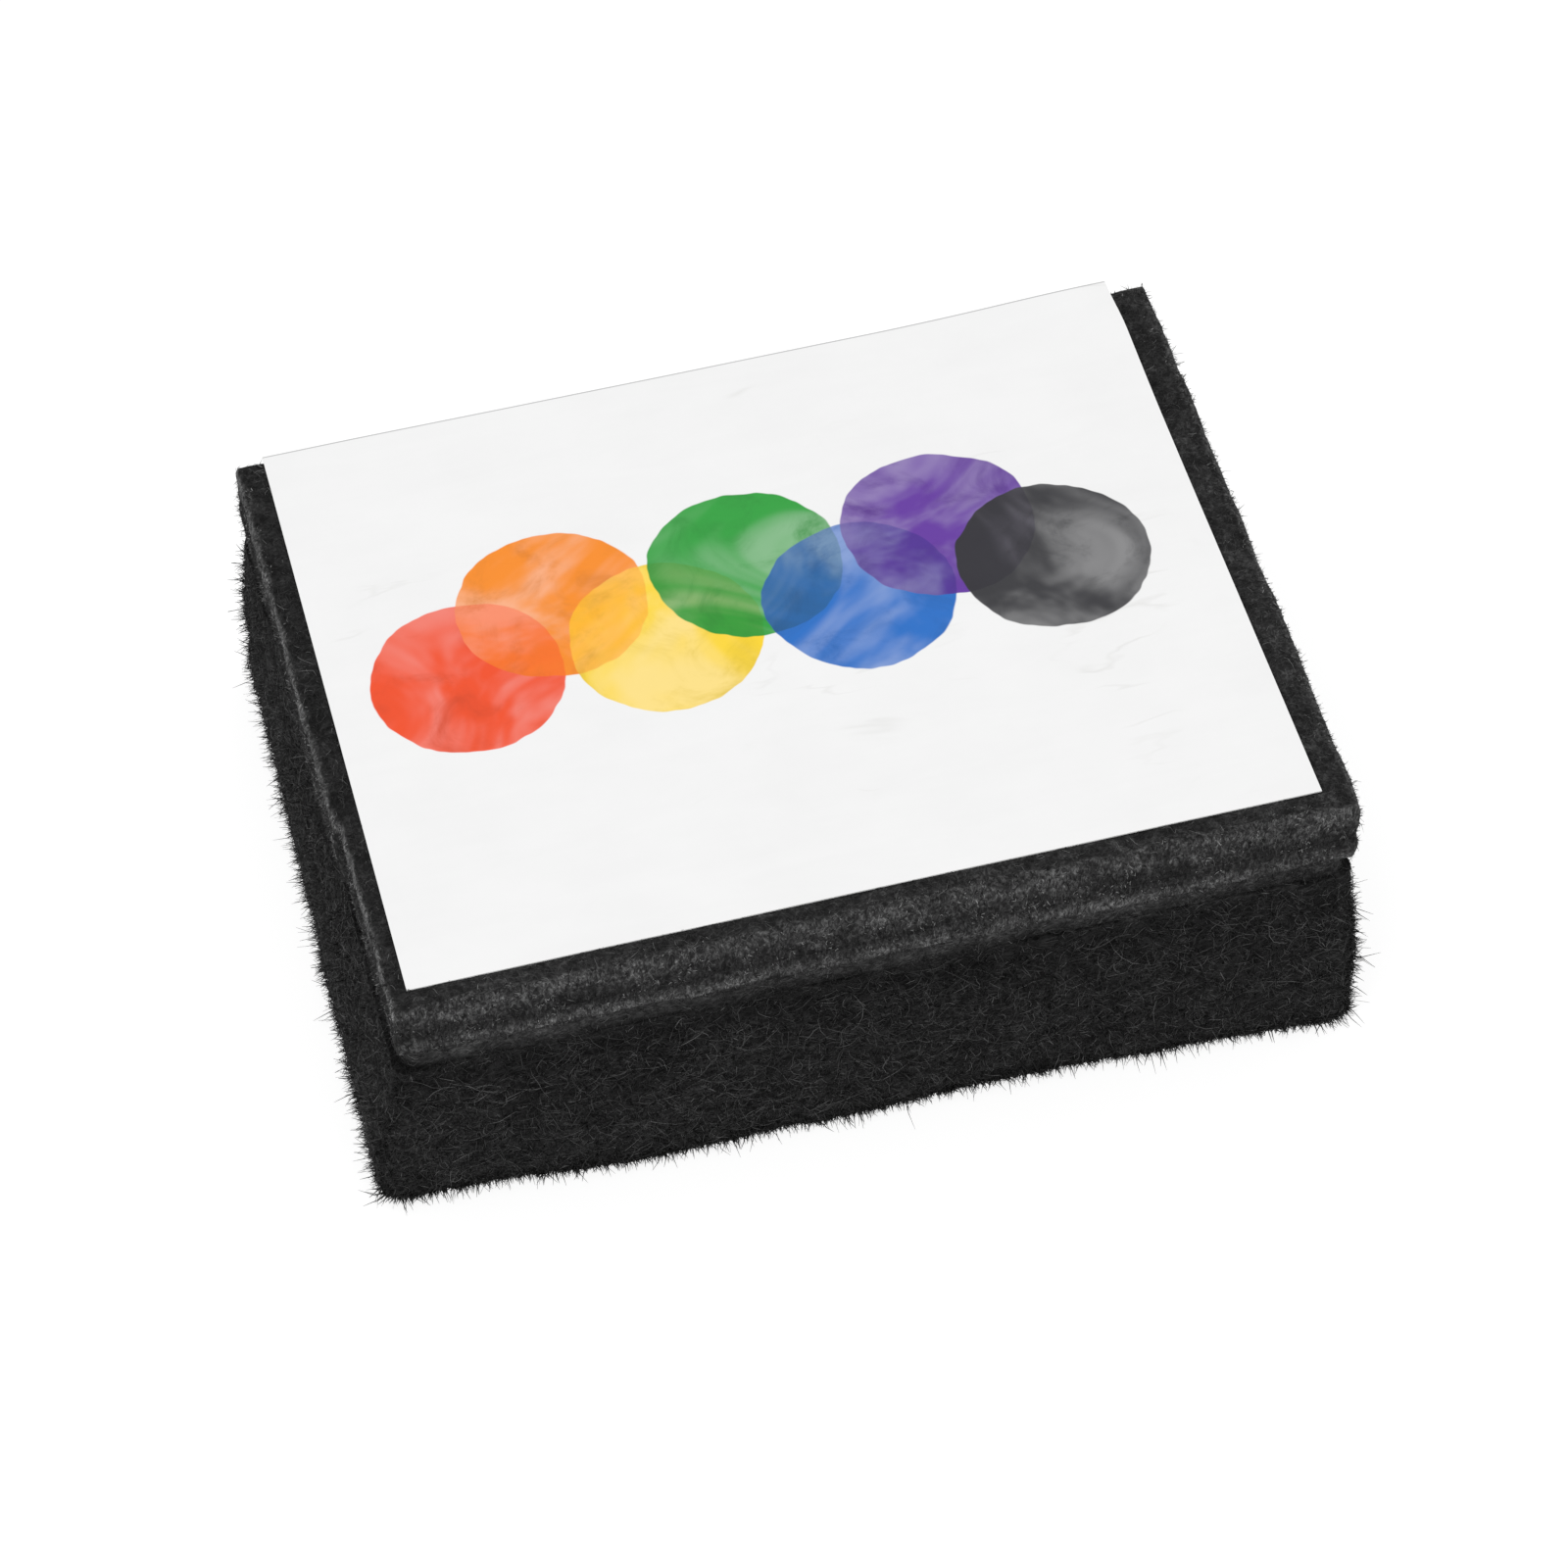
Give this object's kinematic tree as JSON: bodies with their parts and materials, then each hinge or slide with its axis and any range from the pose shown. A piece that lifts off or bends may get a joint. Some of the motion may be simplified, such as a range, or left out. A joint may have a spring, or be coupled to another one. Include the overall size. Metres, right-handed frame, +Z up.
{
  "type": "chalkboard eraser",
  "caption": "Small block-shaped felt chalkboard eraser: a thick soft wiping pad under a laminated pressed felt backing, with a label sheet on top.",
  "frame": {"origin": "middle of the eraser's box, on the surface that its wiping pad rests on", "axes": "+X along the long side towards the thicker end, +Y along the short side towards the edge that the label hangs over, +Z up through the label"},
  "size_m": [0.0762, 0.0586, 0.0254],
  "materials": {
    "label_stock": "smooth white label stock with a satin coat",
    "glue": "thin translucent adhesive film",
    "pressed_felt": "dense pressed charcoal felt with lighter grey cut edges",
    "needled_felt": "soft near-black needled felt with a hairy surface"
  },
  "bodies": {
    "root": {"label_sheet": "label_stock", "label_adhesive": "glue", "upper_backing_felt": "pressed_felt", "ply_bond_film": "glue", "lower_backing_felt": "pressed_felt", "pad_bond_film": "glue", "pad_facing": "needled_felt", "wiping_pad": "needled_felt"}
  },
  "joints": []
}
